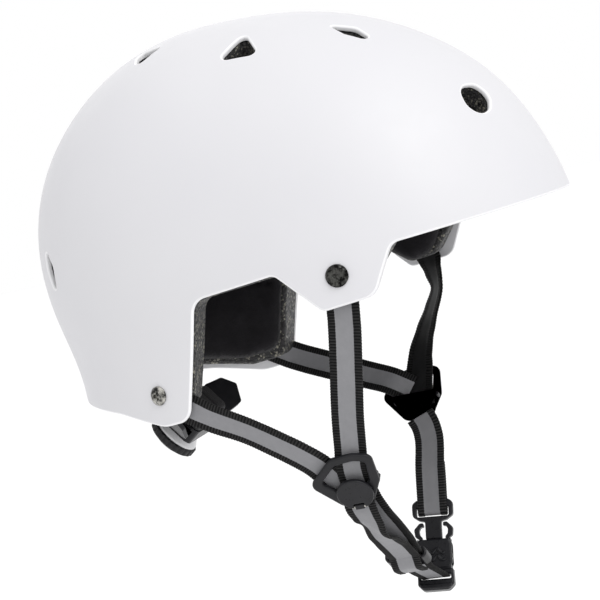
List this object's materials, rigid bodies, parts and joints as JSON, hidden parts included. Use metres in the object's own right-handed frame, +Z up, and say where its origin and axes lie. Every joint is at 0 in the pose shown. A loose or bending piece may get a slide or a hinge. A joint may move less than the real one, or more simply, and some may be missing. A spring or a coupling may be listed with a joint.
{
  "type": "water helmet",
  "caption": "Hard-shell water and street sports helmet with side cut-outs, foam liner, webbing harness, side-release chin buckle and nape dial.",
  "frame": {"origin": "centre of the head space, level with the forehead opening, where a head or headform holds the helmet", "axes": "+Z up, -Y towards the front of the helmet, +X towards the wearer's left"},
  "size_m": [0.2152, 0.2811, 0.3247],
  "materials": {
    "shell_paint": "matte white shell with fine orange-peel texture",
    "eps_foam": "dark foamed beads",
    "pad_fabric": "brushed knit",
    "screw_black": "satin black",
    "screw_steel": "polished dark steel",
    "webbing": "ribbed black edge with grey centre stripe",
    "black_plastic": "moulded satin black",
    "dial_grey": "smooth light grey",
    "dial_rubber": "ribbed soft grip",
    "gear_nylon": "natural nylon"
  },
  "bodies": {
    "helmet": {"outer_shell": "shell_paint", "eps_liner": "eps_foam", "front_pad": "pad_fabric", "crown_pad": "pad_fabric", "right_side_pad": "pad_fabric", "left_side_pad": "pad_fabric", "rear_pad": "pad_fabric", "front_anchor_screws": "screw_black", "rear_anchor_screws": "screw_steel", "front_anchor_nuts": "screw_steel", "rear_anchor_nuts": "screw_steel", "anchor_washers": "screw_steel", "right_front_strap": "webbing", "right_rear_strap": "webbing", "right_chin_strap": "webbing", "left_front_strap": "webbing", "left_rear_strap": "webbing", "left_chin_strap": "webbing", "right_divider_frame": "black_plastic", "right_divider_plate": "black_plastic", "left_divider_frame": "black_plastic", "left_divider_plate": "black_plastic", "divider_posts": "black_plastic", "latch_pins": "screw_steel", "strap_keeper": "black_plastic", "buckle_socket": "black_plastic", "dial_housing": "black_plastic", "housing_cover": "black_plastic", "nape_bracket": "black_plastic", "nape_pad": "pad_fabric", "detent_spring": "screw_steel"},
    "tongue": {"buckle_tongue": "black_plastic", "left_strap_end": "webbing"},
    "prong_front": {"buckle_prong_front": "black_plastic"},
    "prong_rear": {"buckle_prong_rear": "black_plastic"},
    "dial": {"dial_knob": "black_plastic", "dial_grip_ring": "dial_rubber", "dial_ring": "dial_grey", "dial_pinion": "gear_nylon", "dial_screw": "screw_steel"},
    "band_left": {"left_band": "black_plastic"},
    "band_right": {"right_band": "black_plastic"},
    "latch_right": {"right_divider_latch": "black_plastic"},
    "latch_left": {"left_divider_latch": "black_plastic"}
  },
  "joints": [
    {"name": "buckle_slide", "type": "slide", "parent": "helmet", "child": "tongue", "axis": [0.4282, -0.065, 0.9013], "range_m": [0, 0.016]},
    {"name": "prong_front_flex", "type": "hinge", "parent": "tongue", "child": "prong_front", "pos_m": [0.03817, -0.03833, -0.15667], "axis": [0.901, 0.1073, -0.4203], "range_deg": [0, 14]},
    {"name": "prong_rear_flex", "type": "hinge", "parent": "tongue", "child": "prong_rear", "pos_m": [0.03737, -0.02682, -0.15546], "axis": [-0.901, -0.1073, 0.4203], "range_deg": [0, 14]},
    {"name": "dial_spin", "type": "hinge", "parent": "helmet", "child": "dial", "pos_m": [0, 0.0815, -0.071], "axis": [0, 0.809, -0.5878], "range_deg": [0, 114]},
    {"name": "band_left_slide", "type": "slide", "parent": "helmet", "child": "band_left", "axis": [-1, 0, 0], "range_m": [0, 0.008]},
    {"name": "band_right_slide", "type": "slide", "parent": "helmet", "child": "band_right", "axis": [1, 0, 0], "range_m": [0, 0.008]},
    {"name": "latch_right_flip", "type": "hinge", "parent": "helmet", "child": "latch_right", "pos_m": [-0.07414, -0.0255, -0.11859], "axis": [0, -1, 0], "range_deg": [0, 75]},
    {"name": "latch_left_flip", "type": "hinge", "parent": "helmet", "child": "latch_left", "pos_m": [0.07114, -0.0315, -0.10259], "axis": [0, 1, 0], "range_deg": [0, 75]}
  ],
  "couplings": [
    {"joint": "prong_front_flex", "follows": "buckle_slide", "rad_per_m": 14.6},
    {"joint": "prong_rear_flex", "follows": "buckle_slide", "rad_per_m": 14.6},
    {"joint": "band_left_slide", "follows": "dial_spin", "m_per_rad": 0.004},
    {"joint": "band_right_slide", "follows": "dial_spin", "m_per_rad": 0.004}
  ]
}
